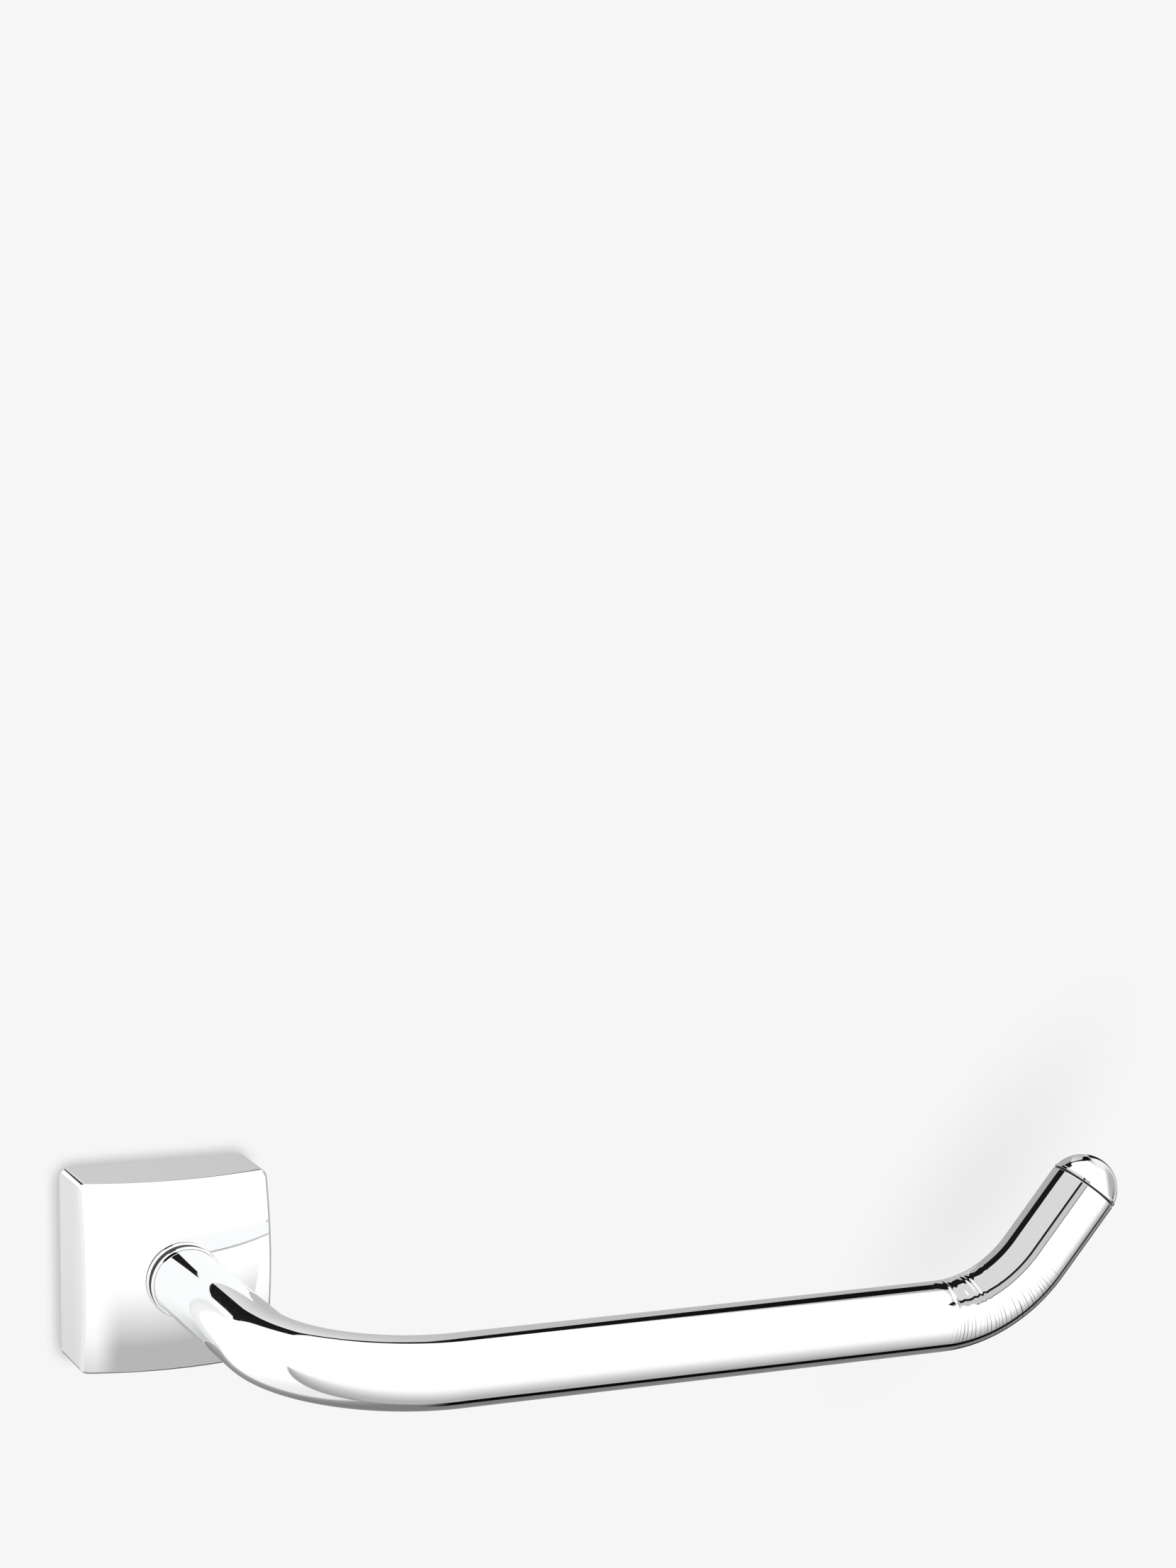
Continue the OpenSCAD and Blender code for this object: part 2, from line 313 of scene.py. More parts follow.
def zinc_material(name, colour):
    """Bright zinc plate: fine grain, a faint blue cast and rubbed patches."""
    material, tree = new_material(name)
    place = tree.object_place()
    cloud = tree.noise(place, 180.0, 4.0, 0.6)
    grain = tree.noise(place, 2400.0, 2.0)
    drawn = tree.noise(tree.add("Mapping", place, named={"Scale": (1.0, 1.0, 9.0)}).outputs[0],
                       700.0, 2.0)
    rough = tree.mapped(cloud, 0.3, 0.7, 0.22, 0.42)
    height = tree.math("MULTIPLY_ADD", drawn, 0.6, tree.times(grain, 0.4))
    tone = tree.mix(cloud, rgba(colour, 0.86), rgba(colour), "RGBA")
    principled(tree, tone, 1.0, rough, 0.3, 0.03 * MM, height)
    return material


def brass_material(name, colour):
    """Turned brass: rings from the lathe and a little tarnish."""
    material, tree = new_material(name)
    place = tree.object_place()
    depth = tree.add("SeparateXYZ", place).outputs[1]
    rings = tree.math("SINE", tree.times(depth, 21000.0))
    tarnish = tree.noise(place, 240.0, 4.0, 0.6)
    rough = tree.mapped(tarnish, 0.3, 0.7, 0.18, 0.4)
    tone = tree.mix(tarnish, rgba(colour, 0.72), rgba(colour), "RGBA")
    principled(tree, tone, 1.0, rough, 0.3, 0.02 * MM, rings)
    return material


def rubber_material(name, colour):
    """Matte gasket rubber with a fine moulded grain and some dust."""
    material, tree = new_material(name)
    place = tree.object_place()
    grain = tree.noise(place, 3200.0, 3.0, 0.7)
    dust = tree.mapped(tree.noise(place, 320.0, 4.0, 0.65), 0.5, 0.8, 0.0, 1.0)
    rough = tree.mapped(dust, 0.0, 1.0, 0.62, 0.85)
    dusty = rgba([min(1.0, channel * 2.2 + 0.01) for channel in colour])
    tone = tree.mix(dust, rgba(colour), dusty, "RGBA")
    principled(tree, tone, 0.0, rough, 0.5, 0.04 * MM, grain)
    return material


# ---------------------------------------------------------------- mesh helpers

def out_from_wall(depth=0.0):
    """Turns a shape drawn along +Z so that it runs out from the wall, from that depth."""
    return Matrix.Translation((0.0, -depth, 0.0)) @ Matrix.Rotation(math.radians(90), 4, "X")


def tip_frame(arm, along=0.0):
    """The frame of the straight tip, with +Z along it."""
    angle = arm.tip_angle
    centre = Vector((arm.bar_end, -REACH, arm.tip_bend))
    start = centre + arm.tip_bend * Vector((math.sin(angle), 0.0, -math.cos(angle)))
    way = Vector((math.cos(angle), 0.0, math.sin(angle)))
    turn = Matrix.Rotation(math.radians(90) - angle, 4, "Y")
    return Matrix.Translation(start + way * along) @ turn


def object_from(bm, name, *materials):
    """A new object with the bmesh as its mesh. The bmesh is used up."""
    mesh = bpy.data.meshes.new(name)
    bm.to_mesh(mesh)
    bm.free()
    for material in materials:
        mesh.materials.append(material)
    made = bpy.data.objects.new(name, mesh)
    bpy.context.scene.collection.objects.link(made)
    return made


def new_verts(made):
    return [item for item in made if isinstance(item, bmesh.types.BMVert)]


def new_edges(made):
    return [item for item in made if isinstance(item, bmesh.types.BMEdge)]


def block_at(bm, half, back, front):
    """Adds a square block of that half width between two depths from the wall."""
    bmesh.ops.create_cube(bm, size=1.0, matrix=Matrix.Translation((0, -(back + front) / 2, 0))
                          @ Matrix.Diagonal((2 * half, front - back, 2 * half, 1)))


def finish_piece(name, bm, materials, body, replaced):
    """Makes the object from the bmesh, shades it and ties it to the frame."""
    for edge in bm.edges:
        edge.smooth = len(edge.link_faces) != 2 or edge.calc_face_angle(0.0) < SHARP
    for face in bm.faces:
        face.smooth = True
    piece = object_from(bm, name, *materials)
    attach(piece, body)
    for node in replaced:
        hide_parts(node)
    return piece


def spun(profile, steps, matrix):
    """A closed ring or plug: the profile, in (radius, height), spun round +Z, then placed."""
    bm = bmesh.new()
    verts = [bm.verts.new((r, 0.0, z)) for r, z in profile]
    edges = [bm.edges.new(pair) for pair in zip(verts, verts[1:])]
    on_axis = profile[0][0] == 0.0 and profile[-1][0] == 0.0
    if not on_axis:
        edges.append(bm.edges.new((verts[-1], verts[0])))
    bmesh.ops.spin(bm, geom=verts + edges, cent=(0, 0, 0), axis=(0, 0, 1), dvec=(0, 0, 0),
                   angle=math.tau, steps=steps, use_merge=True, use_duplicate=False)
    bmesh.ops.remove_doubles(bm, verts=bm.verts, dist=DOUBLES)
    bmesh.ops.recalc_face_normals(bm, faces=bm.faces)
    bmesh.ops.transform(bm, matrix=matrix, verts=bm.verts)
    return bm


def arc(centre, radius, start, end, steps):
    """Points of an arc in (radius, height), angles in degrees."""
    turns = [math.radians(start + (end - start) * k / steps) for k in range(steps + 1)]
    return [(centre[0] + radius * math.cos(turn), centre[1] + radius * math.sin(turn))
            for turn in turns]


def cutter(bm, name):
    """A temporary object that a Boolean takes away."""
    bmesh.ops.recalc_face_normals(bm, faces=bm.faces)
    return object_from(bm, name)


def drill(radius, start, end, matrix):
    """A cylinder from start to end along the matrix's +Z."""
    bm = bmesh.new()
    bmesh.ops.create_cone(bm, cap_ends=True, cap_tris=False, segments=64, radius1=radius,
                          radius2=radius, depth=end - start,
                          matrix=matrix @ Matrix.Translation((0, 0, (start + end) / 2)))
    return bm


def carved(bm, tools):
    """The bmesh with each tool's solid taken away."""
    blank = object_from(bm, "blank")
    for tool in tools:
        step = blank.modifiers.new("cut", "BOOLEAN")
        step.operation = "DIFFERENCE"
        step.solver = "EXACT"
        step.object = tool
    graph = bpy.context.evaluated_depsgraph_get()
    result = bmesh.new()
    result.from_mesh(blank.evaluated_get(graph).to_mesh())
    for item in [blank] + tools:
        old = item.data
        bpy.data.objects.remove(item)
        bpy.data.meshes.remove(old)
    bmesh.ops.remove_doubles(result, verts=result.verts, dist=DOUBLES)
    return result


# ---------------------------------------------------------------- operators

class HOLDER_OT_rose(bpy.types.Operator):
    """Casts the square rose: a domed face with rounded edges, and the cavity behind it"""
    bl_idname = "roll_holder.rose"
    bl_label = "Rose"

    def execute(self, context):
        sizes = context.scene.holder_rose
        half = ROSE_HALF
        dome_r = (half ** 2 + sizes.bulge ** 2) / (2 * sizes.bulge)
        bm = bmesh.new()
        block_at(bm, half, ROSE_BACK, sizes.apex)
        deep = sizes.apex - ROSE_BACK
        long_edges = [edge for edge in bm.edges
                      if abs(edge.verts[0].co.y - edge.verts[1].co.y) > deep / 2]
        bmesh.ops.bevel(bm, geom=long_edges, offset=sizes.corner, offset_type="OFFSET",
                        segments=10, profile=0.5, affect="EDGES", material=-1)
        drop = self.round_front(bm, sizes)
        self.cut_grid(bm, half - sizes.corner - GRID_MARGIN, sizes.grid)
        rim = -sizes.apex + 0.001 * MM
        for vert in bm.verts:
            if vert.co.y < rim:
                across = vert.co.x ** 2 + vert.co.z ** 2
                depth = sizes.apex - dome_r + math.sqrt(dome_r ** 2 - across)
                vert.co.y = -(depth - vert[drop])
        bmesh.ops.recalc_face_normals(bm, faces=bm.faces)
        bm = carved(bm, self.tools(sizes, dome_r))
        chrome = chrome_material("chrome_cast", context.scene.holder_finish.chrome)
        piece = finish_piece("rose_cover_cast", bm, [chrome], HOLDER,
                             ["rose_cover"])
        even = piece.modifiers.new("even shading", "WEIGHTED_NORMAL")
        even.mode = "FACE_AREA"
        even.keep_sharp = True
        return {"FINISHED"}

    @staticmethod
    def round_front(bm, sizes):
        """Insets the front in rings and notes how far each drops for a rounded edge."""
        drop = bm.verts.layers.float.new("drop")
        front = min(bm.faces, key=lambda face: face.calc_center_median().y)
        for vert in front.verts:
            vert[drop] = sizes.edge
        rings = 7
        last = 0.0
        for k in range(1, rings + 1):
            angle = math.radians(90) * k / rings
            at = sizes.edge * (1 - math.cos(angle))
            bmesh.ops.inset_region(bm, faces=[front], thickness=at - last, depth=0.0,
                                   use_even_offset=True, use_boundary=True)
            last = at
            for vert in front.verts:
                vert[drop] = sizes.edge * (1 - math.sin(angle))
        return drop

    @staticmethod
    def cut_grid(bm, reach, count):
        """Cuts the front each way, so that it can take the shape of the dome."""
        for axis in (Vector((1, 0, 0)), Vector((0, 0, 1))):
            for k in range(count):
                at = -reach + 2 * reach * k / (count - 1)
                front_faces = [face for face in bm.faces if face.normal.y < -0.9]
                geom = set(front_faces)
                for face in front_faces:
                    geom.update(face.edges)
                    geom.update(face.verts)
                bmesh.ops.bisect_plane(bm, geom=list(geom), dist=1e-8,
                                       plane_co=axis * at, plane_no=axis)

    @staticmethod
    def tools(sizes, dome_r):
        """The cavity, the pocket behind the arm and the grub screw's hole."""
        half = ROSE_HALF
        corner = math.sqrt(dome_r ** 2 - 2 * half ** 2)
        cavity_depth = sizes.apex - dome_r + corner - sizes.wall
        past = 1 * MM
        block = bmesh.new()
        block_at(block, half - sizes.wall, -past, cavity_depth)
        bmesh.ops.bevel(block, geom=list(block.edges), offset=0.8 * MM, offset_type="OFFSET",
                        segments=4, profile=0.5, affect="EDGES", material=-1)
        below = Matrix.Translation((0, GRUB_Y, -half))
        return [
            cutter(block, "cavity"),
            cutter(drill(10 * MM, 11 * MM, POCKET_DEPTH, out_from_wall()), "pocket"),
            cutter(drill(GRUB_R + 0.05 * MM, -past, sizes.wall + past, below), "grub hole"),
        ]


class HOLDER_OT_collar(bpy.types.Operator):
    """Turns the collar round the tube's root: a ring, a dark seal and a thin lip"""
    bl_idname = "roll_holder.collar"
    bl_label = "Collar"

    def execute(self, context):
        finish = context.scene.holder_finish
        inner = TUBE_R + COLLAR_PLAY
        chrome = chrome_material("chrome_turned", finish.chrome)
        rubber = rubber_material("seal_rubber", finish.rubber)
        # node, piece, rounded edge, shift of the back and of the front, finish, slot
        rows = (
            ("collar_ring", "collar_ring_turned", 0.42 * MM, 0.0, -0.3 * MM, chrome,
             "chromed_turning"),
            ("collar_seal", "collar_seal_moulded", 0.05 * MM, -0.3 * MM, 0.0, rubber,
             "gasket_rubber"),
            ("collar_lip", "collar_lip_turned", 0.2 * MM, 0.0, 0.0, chrome, "chromed_turning"),
        )
        # painted shade: a dark rubber finish on the faces in the ring's groove stands in for the
        # shade in that recess
        painted_shade = rubber_material("collar_groove_painted_shade", finish.rubber)
        groove = context.scene.holder_rose.apex - GROOVE_BACK
        groove_end = groove + GROOVE_WIDE
        for node, name, edge, back_shift, front_shift, material, slot in rows:
            low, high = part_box(node)
            outer, back, front = high.x, -high.y + back_shift, -low.y + front_shift
            profile = [(inner, back), (outer, back)]
            if node == "collar_ring":
                profile += [(outer, groove), (outer - GROOVE_DEEP, groove),
                            (outer - GROOVE_DEEP, groove_end), (outer, groove_end)]
            profile += arc((outer - edge, front - edge), edge, 0, 90, 8)
            profile += [(inner, front)]
            bm = spun(profile, 128, out_from_wall())
            if node == "collar_ring":
                # the groove's faces get the second finish, the painted shade
                for face in bm.faces:
                    spot = face.calc_center_median()
                    sunk = outer - math.hypot(spot.x, spot.z)
                    in_groove = groove - TOUCH < -spot.y < groove_end + TOUCH
                    if in_groove and GROOVE_DEEP / 4 < sunk < GROOVE_DEEP * 1.25:
                        face.material_index = 1
            finish_piece(name, bm, [material, painted_shade], HOLDER, [node])
        return {"FINISHED"}


class HOLDER_OT_arm(bpy.types.Operator):
    """Bends the tube: post, large bend, bar, tip bend with its folds, and tip"""
    bl_idname = "roll_holder.arm"
    bl_label = "Arm tube"

    def execute(self, context):
        arm = context.scene.holder_arm
        bm = bmesh.new()
        bmesh.ops.create_circle(bm, cap_ends=False, segments=arm.sides, radius=TUBE_R,
                                matrix=out_from_wall(SEAT_DEPTH))
        loop = list(bm.edges)
        post = REACH - arm.bend
        loop = self.straight(bm, loop, Vector((0, -1, 0)), post - SEAT_DEPTH, POST_CUTS)
        loop = self.bend(bm, loop, Vector((arm.bend, -post, 0)), (0, 0, 1),
                         math.radians(90), BEND_CUTS)
        loop = self.straight(bm, loop, Vector((1, 0, 0)), arm.bar_end - arm.bend, BAR_CUTS)
        bent_from = len(bm.verts)
        loop = self.bend(bm, loop, Vector((arm.bar_end, -REACH, arm.tip_bend)), (0, -1, 0),
                         arm.tip_angle, TIP_BEND_CUTS)
        way = Vector((math.cos(arm.tip_angle), 0, math.sin(arm.tip_angle)))
        loop = self.straight(bm, loop, way, arm.tip - TUBE_RIM, TIP_CUTS)
        for k in range(RIM_CUTS):
            before, angle = (math.radians(90) * step / RIM_CUTS for step in (k, k + 1))
            rise = TUBE_RIM * (math.sin(angle) - math.sin(before))
            loop = self.straight(bm, loop, way, rise, 1)
            share = ((TUBE_R - TUBE_RIM * (1 - math.cos(angle)))
                     / (TUBE_R - TUBE_RIM * (1 - math.cos(before))))
            ring, middle = self.ring_of(loop)
            bmesh.ops.scale(bm, vec=(share,) * 3, verts=ring, space=Matrix.Translation(-middle))
        end = self.ring_of(loop)[1]
        if (end - tip_frame(arm, arm.tip).translation).length > 0.05 * MM:
            raise RuntimeError("the tube doesn't end where the cap starts")
        bm.verts.ensure_lookup_table()
        self.folds(bm.verts[bent_from:], arm)
        bmesh.ops.recalc_face_normals(bm, faces=bm.faces)
        # the faces of the post have to look away from its centre line
        across = Vector((1, 0, 1))
        outward = sum(face.normal.dot(face.calc_center_median() * across)
                      for face in bm.faces if face.calc_center_median().y > -post)
        if outward < 0:
            bmesh.ops.reverse_faces(bm, faces=bm.faces)
        chrome = chrome_material("chrome_tube", context.scene.holder_finish.chrome, bends=True)
        piece = finish_piece("arm_tube_bent", bm, [chrome], HOLDER,
                             ["arm_tube"])
        wall = piece.modifiers.new("tube wall", "SOLIDIFY")
        wall.thickness = arm.wall
        wall.offset = -1.0
        wall.use_rim = True
        return {"FINISHED"}

    @staticmethod
    def ring_of(loop):
        """The vertices of a loop of edges, and their middle."""
        ring = list({vert for edge in loop for vert in edge.verts})
        return ring, sum((vert.co for vert in ring), Vector()) / len(ring)

    @staticmethod
    def straight(bm, loop, way, distance, steps):
        """Draws the loop out along a line and returns the last loop."""
        for _ in range(steps):
            made = bmesh.ops.extrude_edge_only(bm, edges=loop)["geom"]
            bmesh.ops.translate(bm, vec=way * (distance / steps), verts=new_verts(made))
            loop = [edge for edge in new_edges(made) if len(edge.link_faces) < 2]
        return loop

    @staticmethod
    def bend(bm, loop, centre, axis, angle, steps):
        """Draws the loop round an axis and returns the last loop."""
        made = bmesh.ops.spin(bm, geom=loop, cent=centre, axis=axis, dvec=(0, 0, 0),
                              angle=angle, steps=steps, use_merge=False,
                              use_duplicate=False)["geom_last"]
        return new_edges(made)

    @staticmethod
    def folds(verts, arm):
        """A die mark and low folds that cross the inside of the tip bend."""
        centre = Vector((arm.bar_end, 0, arm.tip_bend))
        for vert in verts:
            away = Vector((vert.co.x, 0, vert.co.z)) - centre
            share = math.atan2(away.x, -away.z) / arm.tip_angle
            inward = (arm.tip_bend - away.length) / TUBE_R
            if not 0 < share < FOLDS_LIMIT or inward <= 0:
                continue
            side = (vert.co.y + REACH) / TUBE_R
            die = math.exp(-((share - DIE_AT) / DIE_HALF) ** 2) * min(1.0, inward * 1.6)
            start = min(1.0, max(0.0, (share - FOLDS_FROM) / 0.05))
            end = min(1.0, max(0.0, (FOLDS_TO - share) / 0.3))
            phase = FOLDS_COUNT * share + 0.35 * math.sin(21.0 * share) + 0.25 * side
            uneven = 0.65 + 0.35 * math.sin(31.0 * share + 4.0 * side)
            wave = math.sin(math.tau * phase) * uneven
            middle = centre + away.normalized() * arm.tip_bend
            middle.y = -REACH
            outward = (vert.co - middle).normalized()
            height = DIE_HEIGHT * die + start * end * inward ** 2 * wave
            vert.co += outward * (arm.wrinkle * height)


class HOLDER_OT_cap(bpy.types.Operator):
    """Turns the domed end cap with its spigot and shadow gap"""
    bl_idname = "roll_holder.cap"
    bl_label = "End cap"

    def execute(self, context):
        arm = context.scene.holder_arm
        band, rim, chamfer = 0.4 * MM, 0.18 * MM, 0.3 * MM
        rise = arm.cap - arm.gap - band
        base = TUBE_R - 0.15 * MM
        dome_r = (base ** 2 + rise ** 2) / (2 * rise)
        spigot, spigot_r = 8 * MM, TUBE_R - arm.wall - 0.05 * MM
        neck = TUBE_R - 0.5 * MM
        # the spigot, the neck in the gap, the rounded rim, a short band and then the dome
        profile = [(0.0, -spigot), (spigot_r - chamfer, -spigot),
                   (spigot_r, chamfer - spigot), (spigot_r, 0.0), (neck, 0.0), (neck, arm.gap)]
        profile += arc((TUBE_R - rim, arm.gap + rim), rim, -90, 0, 4)
        profile += [(TUBE_R, arm.gap + 0.34 * MM), (TUBE_R - 0.03 * MM, arm.gap + 0.55 * MM)]
        first = math.degrees(math.acos((TUBE_R - 0.2 * MM) / dome_r))
        profile += arc((0.0, arm.cap - dome_r), dome_r, first, 90, 40)
        profile[-1] = (0.0, arm.cap)
        place = tip_frame(arm, arm.tip)
        bm = spun(profile, 128, place)
        to_local = place.inverted()
        # painted shade: the faces inside the gap get a dark rubber finish that stands in for the
        # shade in the gap
        for face in bm.faces:
            spot = to_local @ face.calc_center_median()
            in_gap = -TOUCH < spot.z < arm.gap + TOUCH
            if in_gap and math.hypot(spot.x, spot.y) < base:
                face.material_index = 1
        finish = context.scene.holder_finish
        chrome = chrome_material("chrome_cap", finish.chrome)
        # the dark finish of the painted shade in the gap
        painted_shade = rubber_material("joint_painted_shade", finish.rubber)
        finish_piece("end_cap_turned", bm, [chrome, painted_shade], HOLDER,
                     ["end_cap"])
        return {"FINISHED"}


class HOLDER_OT_fixings(bpy.types.Operator):
    """Gives the gasket, bracket, screws, washers, pin and insert their finishes"""
    bl_idname = "roll_holder.fixings"
    bl_label = "Fixings behind the rose"

    def execute(self, context):
        finish = context.scene.holder_finish
        zinc = zinc_material("zinc_plate", finish.zinc)
        rows = {
            "wall_gasket": rubber_material("gasket_rubber", finish.rubber),
            "tube_insert": brass_material("turned_brass", finish.brass),
        }
        for name in ("wall_bracket", "grub_screw", "anti_rotation_pin", "flat_washer",
                     "spring_washer", "arm_fixing_screw"):
            rows[name] = zinc
        for name, material in rows.items():
            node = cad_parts[name]
            node.data.materials.clear()
            node.data.materials.append(material)
        return {"FINISHED"}


class HOLDER_OT_stage(bpy.types.Operator):
    """Sets out the floor, the studio surround, the wall, the cards, the light and the camera"""
    bl_idname = "roll_holder.stage"
    bl_label = "Stage"

    def execute(self, context):
        scene = context.scene
        paper = scene.holder_finish.paper
        self.floor(paper)
        self.surround(scene, paper)
        self.wall(paper)
        self.soft_cards()
        self.cards(scene.holder_arm)
        self.light(scene)
        self.camera(scene)
        scene.view_settings.view_transform = "Standard"
        scene.view_settings.look = "None"
        return {"FINISHED"}

    @staticmethod
    def floor(paper):
        """A pale floor far below, seen only by the camera."""
        bm = bmesh.new()
        bmesh.ops.create_grid(bm, x_segments=1, y_segments=1, size=FLOOR_HALF,
                              matrix=Matrix.Translation((0, 0, FLOOR_LEVEL)))
        material, tree = new_material("pale_floor")
        tree.add("OutputMaterial", tree.add("Emission", rgba(paper), 1.0).outputs[0])
        floor = object_from(bm, "floor", material)
        floor.visible_glossy = False
        floor.visible_diffuse = False
        floor.visible_shadow = False

    @staticmethod
    def surround(scene, paper):
        """A white studio with a grey wall side and black flags, as a function of direction."""
        scene.world = bpy.data.worlds.new("studio")
        tree = Tree(scene.world)
        way = tree.add("TexCoord").outputs["Generated"]
        x, y, z = tree.add("SeparateXYZ", way).outputs
        path = tree.add("LightPath").outputs
        again = tree.math("GREATER_THAN", path["Ray Depth"], SECOND_LOOK)
        thrice = tree.math("GREATER_THAN", path["Ray Depth"], THIRD_LOOK)
        along = tree.mapped(x, -1.0, 1.0, 0.0, 1.0, smooth=False)

        def curve(*points):
            """A height or a grey for each x from -1 to 1."""
            return tree.ramp(along, *[((at + 1) / 2, height) for at, height in points])

        def past(value, low, high):
            """0 up to low, 1 from high."""
            return tree.mapped(value, low, high, 0.0, 1.0)

        def between(value, low, high, soft=0.006):
            """1 from low to high and 0 outside, with soft edges."""
            over_low = tree.mapped(tree.math("SUBTRACT", value, low), -soft, soft, 0.0, 1.0)
            over_high = tree.mapped(tree.math("SUBTRACT", value, high), -soft, soft, 1.0, 0.0)
            return tree.times(over_low, over_high)

        # the front: white at the height of the lights, grey further down
        turn = tree.math("ARCTAN2", z, tree.times(y, -1.0))
        share = tree.mapped(turn, math.radians(-90), math.radians(90), 0.0, 1.0, smooth=False)
        front = tree.ramp(share, (0.033, 0.34), (0.19, 0.66), (0.28, 0.92), (0.36, 1.0))
        back = past(y, -0.02, 0.02)
        plain_front = tree.mix(back, front, 1.0)
        # the wall side: white at the left, light grey at the right, darker low down
        right = tree.ramp(along, (0.40, 1.0), (0.53, 0.72), (0.62, 0.60), (0.70, 0.49),
                          (0.76, 0.44), (0.81, 0.85))
        low = tree.ramp(along, (0.34, 1.0), (0.40, 0.38), (0.50, 0.25), (0.70, 0.24))
        low = tree.mix(past(z, -0.86, -0.50), tree.times(low, 0.8), low)
        wall = tree.mix(past(z, -0.42, -0.30), low, right)
        wall = tree.mix(past(z, 0.80, 0.84), wall, 1.0)
        shade = tree.mix(back, front, wall)
        # grey panels straight behind and far to the right
        shade = tree.mix(past(y, 0.92, 0.965), shade, 0.36)
        shade = tree.mix(past(x, 0.80, 0.97), shade, 0.42)
        shade = tree.mix(again, shade, plain_front)
        # the black flags over the wall, which second reflections meet in front instead
        reach = tree.mix(again, y, tree.times(y, -1.0))
        behind = past(reach, 0.0, 0.01)
        broad_top = curve((-0.31, 0.44), (-0.24, 0.58), (-0.20, 0.80), (-0.02, 0.79),
                          (0.0, 0.72), (0.06, 0.50))
        broad = tree.times(between(z, tree.mix(again, 0.37, 0.26), broad_top),
                           between(x, -0.31, 0.06))
        slim_foot = curve((-0.03, 0.73), (0.10, 0.79), (0.20, 0.80), (0.30, 0.78),
                          (0.37, 0.70), (0.42, 0.60), (0.485, 0.48), (0.56, 0.45))
        slim_top = curve((-0.03, 0.80), (0.10, 0.86), (0.20, 0.87), (0.30, 0.86),
                         (0.37, 0.835), (0.485, 0.775), (0.56, 0.70))
        slim = tree.times(between(z, slim_foot, slim_top), between(x, -0.03, 0.56),
                          tree.math("SUBTRACT", 1.0, again))
        flag = tree.times(tree.most(broad, slim), behind)
        # the black gap in front of the wall's foot
        foot = between(turn, math.radians(-105), math.radians(-88), 0.03)
        foot = tree.times(foot, past(x, 0.15, 0.3))
        # dark edges far to the right of the wall, and low down in front of it
        high_edge = tree.times(past(x, 0.56, 0.60), past(y, 0.60, 0.64))
        low_edge = tree.times(past(y, 0.50, 0.56), tree.mapped(z, -0.26, -0.20, 1.0, 0.0),
                              past(x, 0.50, 0.53))
        once = tree.mix(tree.most(flag, foot, high_edge, low_edge), 1.0, BLACK)
        # seen twice over, the rose's far side darkens the edges of the post
        beyond = tree.vector("DISTANCE", way, Vector((0.403, -0.867, -0.292)))
        post_edge = tree.mapped(beyond, 0.05, 0.10, 1.0, 0.0)
        twice = tree.mix(tree.most(flag, post_edge), 1.0, BLACK)
        dark = tree.mix(thrice, tree.mix(again, once, twice), 1.0)
        shade = tree.times(shade, dark, WORLD_LEVEL)
        grey = tree.add("CombineColor", shade, shade, shade)
        studio = tree.add("Background", grey.outputs[0], 1.0)
        plain = tree.add("Background", rgba(paper), 1.0)
        both = tree.add("MixShader", path["Is Camera Ray"], studio.outputs[0], plain.outputs[0])
        tree.add("OutputWorld", both.outputs[0])

    @staticmethod
    def upright(name, centre, half, material, seen=False, turn=0.0):
        """An upright sheet for the camera alone if seen, or else for reflections alone."""
        bm = bmesh.new()
        bmesh.ops.create_grid(bm, x_segments=1, y_segments=1, size=1.0,
                              matrix=Matrix.Translation(centre)
                              @ Matrix.Rotation(turn, 4, "Z")
                              @ Matrix.Rotation(math.radians(90), 4, "X")
                              @ Matrix.Diagonal((half[0], half[1], 1, 1)))
        sheet = object_from(bm, name, material)
        sheet.visible_camera = seen
        sheet.visible_glossy = not seen
        sheet.visible_diffuse = False
        sheet.visible_shadow = False

    def wall(self, paper):
        """The wall round the rose, with a painted soft contact shade and a painted soft shadow
        of the tip.
        """
        material, tree = new_material("pale_wall")
        # painted contact shade: the wall's glow dims by ambient occlusion near the rose
        shut = tree.add("AmbientOcclusion", named={"Distance": 4 * MM}, samples=8)
        level = tree.mapped(shut.outputs["AO"], 0.45, 1.0, 0.62, 1.0)
        # painted shadow of the tip: a darker soft ellipse on the wall, not cast by the light
        turned = tree.add("Mapping", tree.object_place(), vector_type="TEXTURE",
                          named={"Location": (0.223, 0.0, -0.004),
                                 "Rotation": (0.0, math.radians(-52), 0.0),
                                 "Scale": (0.075, 1.0, 0.028)})
        away = tree.vector("LENGTH", tree.vector("MULTIPLY", turned.outputs[0], (1, 0, 1)))
        level = tree.times(level, tree.mapped(away, 0.0, 1.0, 0.90, 1.0))
        tone = tree.add("VectorMath", tuple(paper), operation="SCALE", named={"Scale": level})
        glow = tree.add("Emission", tone.outputs[0], 1.0)
        back = tree.add("NewGeometry").outputs["Backfacing"]
        tree.show_either(back, glow, tree.add("BsdfTransparent"))
        self.upright("wall", (0.11, 0.2 * MM, 0), (0.21, 0.12), material, seen=True)

    def soft_cards(self):
        """A grey card low in front and a pale one beside the rose, seen in reflections."""
        material, tree = new_material("low_grey")
        x, _, z = tree.add("SeparateXYZ", tree.object_place()).outputs
        share = tree.times(tree.mapped(z, -0.110, -0.030, 1.0, 0.0, smooth=False),
                           tree.mapped(x, -0.05, -0.02, 0.0, 1.0))
        tree.show_either(share, tree.add("BsdfTransparent"), tree.grey_glow(0.50))
        self.upright("low_card", (0.04, -0.121, -0.115), (0.10, 0.09), material)

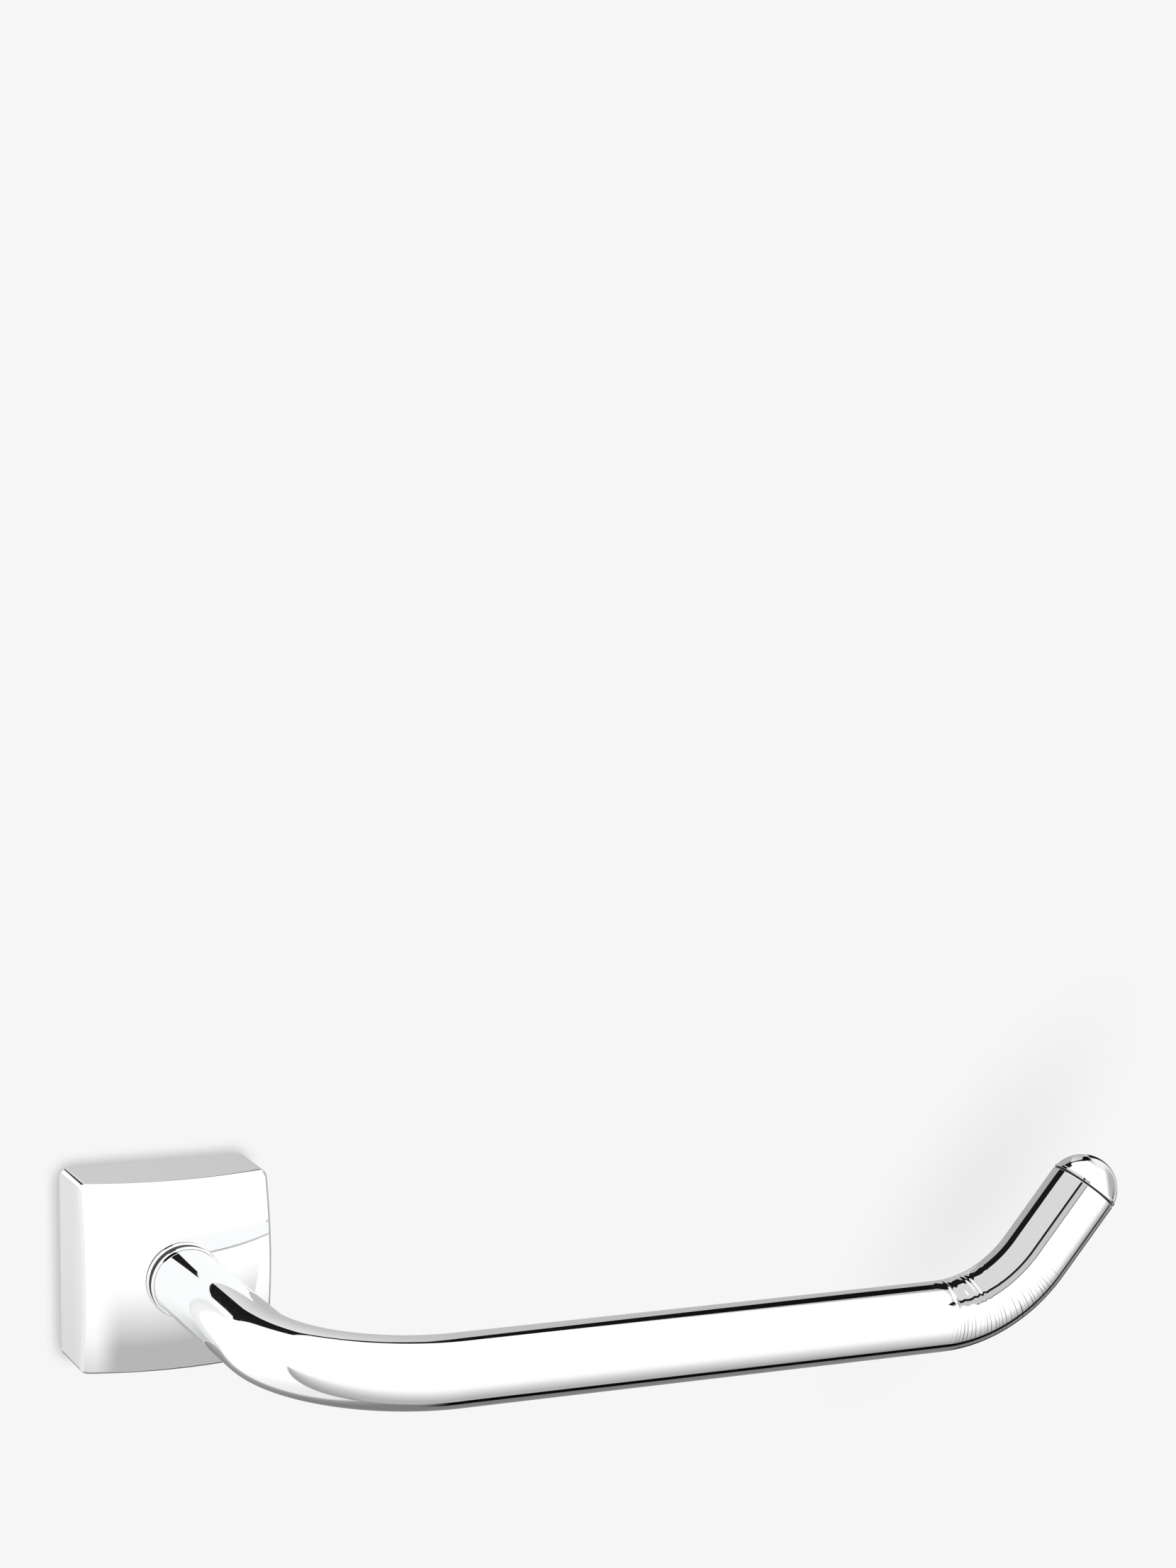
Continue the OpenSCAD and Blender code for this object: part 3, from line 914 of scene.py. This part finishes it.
        material, tree = new_material("side_grey")
        _, y, z = tree.add("SeparateXYZ", tree.object_place()).outputs
        shade = tree.times(tree.mapped(y, -0.020, -0.004, 0.97, 0.80),
                           tree.mapped(z, -0.030, 0.010, 0.92, 1.0))
        tree.add("OutputMaterial", tree.grey_glow(shade).outputs[0])
        self.upright("side_card", (-0.0240, -0.008, -0.003), (0.0125, 0.0255), material,
                     turn=math.radians(90))

    @staticmethod
    def cards(arm):
        """Black and grey cards beside the tip, seen only in its reflections."""
        angle = arm.tip_angle
        way = Vector((math.cos(angle), 0, math.sin(angle)))
        side = Vector((-math.sin(angle), 0, math.cos(angle)))
        start = tip_frame(arm).translation
        # name, first and last turn round the tip in degrees, distance, grey, lower and upper end
        rows = (("edge_card", 150, 206, 12 * MM, 0.45, -6 * MM, 30 * MM),
                ("back_card", 122, 150, 14 * MM, 0.01, -10 * MM, 30 * MM),
                ("dark_edge", 45.5, 52.5, 14 * MM, 0.015, -8 * MM, 26 * MM),
                ("slim_edge", 27.5, 29.5, 14 * MM, 0.02, -8 * MM, 26 * MM),
                ("grey_card", 29.5, 45.5, 14 * MM, 0.60, -8 * MM, 26 * MM),
                ("pale_card", 52.5, 121.5, 14 * MM, 0.74, -5 * MM, 26 * MM))
        for name, first, last, off, shade, low, high in rows:
            bm = bmesh.new()
            verts = []
            for turn in (first, last):
                # off the tube's surface, along the line on which the camera sees it mirrored
                normal, out = math.radians((turn + VIEW_SIDE) / 2), math.radians(turn)
                up = TUBE_R * math.sin(normal) + off * math.sin(out)
                ahead = TUBE_R * math.cos(normal) + off * math.cos(out)
                corner = side * up - Vector((0, 1, 0)) * ahead
                verts.append(bm.verts.new(start + corner + way * low))
            made = bmesh.ops.extrude_edge_only(bm, edges=[bm.edges.new(verts)])["geom"]
            bmesh.ops.translate(bm, vec=way * (high - low), verts=new_verts(made))
            material, tree = new_material(name)
            ray_length = tree.add("LightPath").outputs["Ray Length"]
            far = tree.math("GREATER_THAN", ray_length, CARD_SIGHT)
            tree.show_either(far, tree.grey_glow(shade), tree.add("BsdfTransparent"))
            card = object_from(bm, name, material)
            card.visible_camera = False
            card.visible_diffuse = False
            card.visible_shadow = False

    @staticmethod
    def light(scene):
        """A large soft light from the upper left, aimed at the middle of the holder."""
        key = bpy.data.lights.new("key", "AREA")
        key.energy = 6.0
        key.size = 0.9
        lamp = bpy.data.objects.new("key", key)
        lamp.location = (-0.5, -1.1, 0.9)
        aim = Vector((0.07, -0.05, 0.0)) - lamp.location
        lamp.rotation_euler = aim.to_track_quat("-Z", "Y").to_euler()
        lamp.visible_glossy = False
        scene.collection.objects.link(lamp)

    @staticmethod
    def camera(scene):
        """The main view: from the front left, a little above the bar."""
        place = Vector((-0.234395, -0.725346, 0.223742))
        lens = bpy.data.cameras.new("camera")
        lens.lens = 77.912
        lens.sensor_width = 36.0
        lens.shift_x = 0.02183
        lens.shift_y = 0.32582
        lens.clip_start = 0.01
        lens.clip_end = 100.0
        eye = bpy.data.objects.new("camera", lens)
        right = Vector((0.91011, -0.41333, 0.02939)).normalized()
        ahead = Vector((0.40332, 0.86733, -0.29167)).normalized()
        up = right.cross(ahead)
        turned = Matrix((right, up, -ahead)).transposed().to_4x4()
        eye.matrix_world = Matrix.Translation(place) @ turned
        scene.collection.objects.link(eye)
        scene.camera = eye


OPERATORS = (HOLDER_OT_rose, HOLDER_OT_collar, HOLDER_OT_arm, HOLDER_OT_cap,
             HOLDER_OT_fixings, HOLDER_OT_stage)
GROUPS = {"holder_rose": RoseSizes, "holder_arm": ArmSizes, "holder_finish": FinishColours}


class HOLDER_PT_panel(bpy.types.Panel):
    """Lists the holder's sizes, colours and steps"""
    bl_idname = "HOLDER_PT_panel"
    bl_label = "Roll holder"
    bl_space_type = "VIEW_3D"
    bl_region_type = "UI"
    bl_category = "Roll holder"

    def draw(self, context):
        for owner, group in GROUPS.items():
            box = self.layout.box()
            for field in group.__annotations__:
                box.prop(getattr(context.scene, owner), field)
        for operator in OPERATORS:
            self.layout.operator(operator.bl_idname)


def register():
    for cls in (*GROUPS.values(), *OPERATORS, HOLDER_PT_panel):
        bpy.utils.register_class(cls)
    for owner, group in GROUPS.items():
        setattr(bpy.types.Scene, owner, PointerProperty(type=group))


def unregister():
    for owner in GROUPS:
        delattr(bpy.types.Scene, owner)
    for cls in reversed((*GROUPS.values(), *OPERATORS, HOLDER_PT_panel)):
        bpy.utils.unregister_class(cls)


def main():
    register()
    bpy.ops.roll_holder.rose()
    bpy.ops.roll_holder.collar()
    bpy.ops.roll_holder.arm()
    bpy.ops.roll_holder.cap()
    bpy.ops.roll_holder.fixings()
    bpy.ops.roll_holder.stage()


if __name__ == "__main__":
    main()
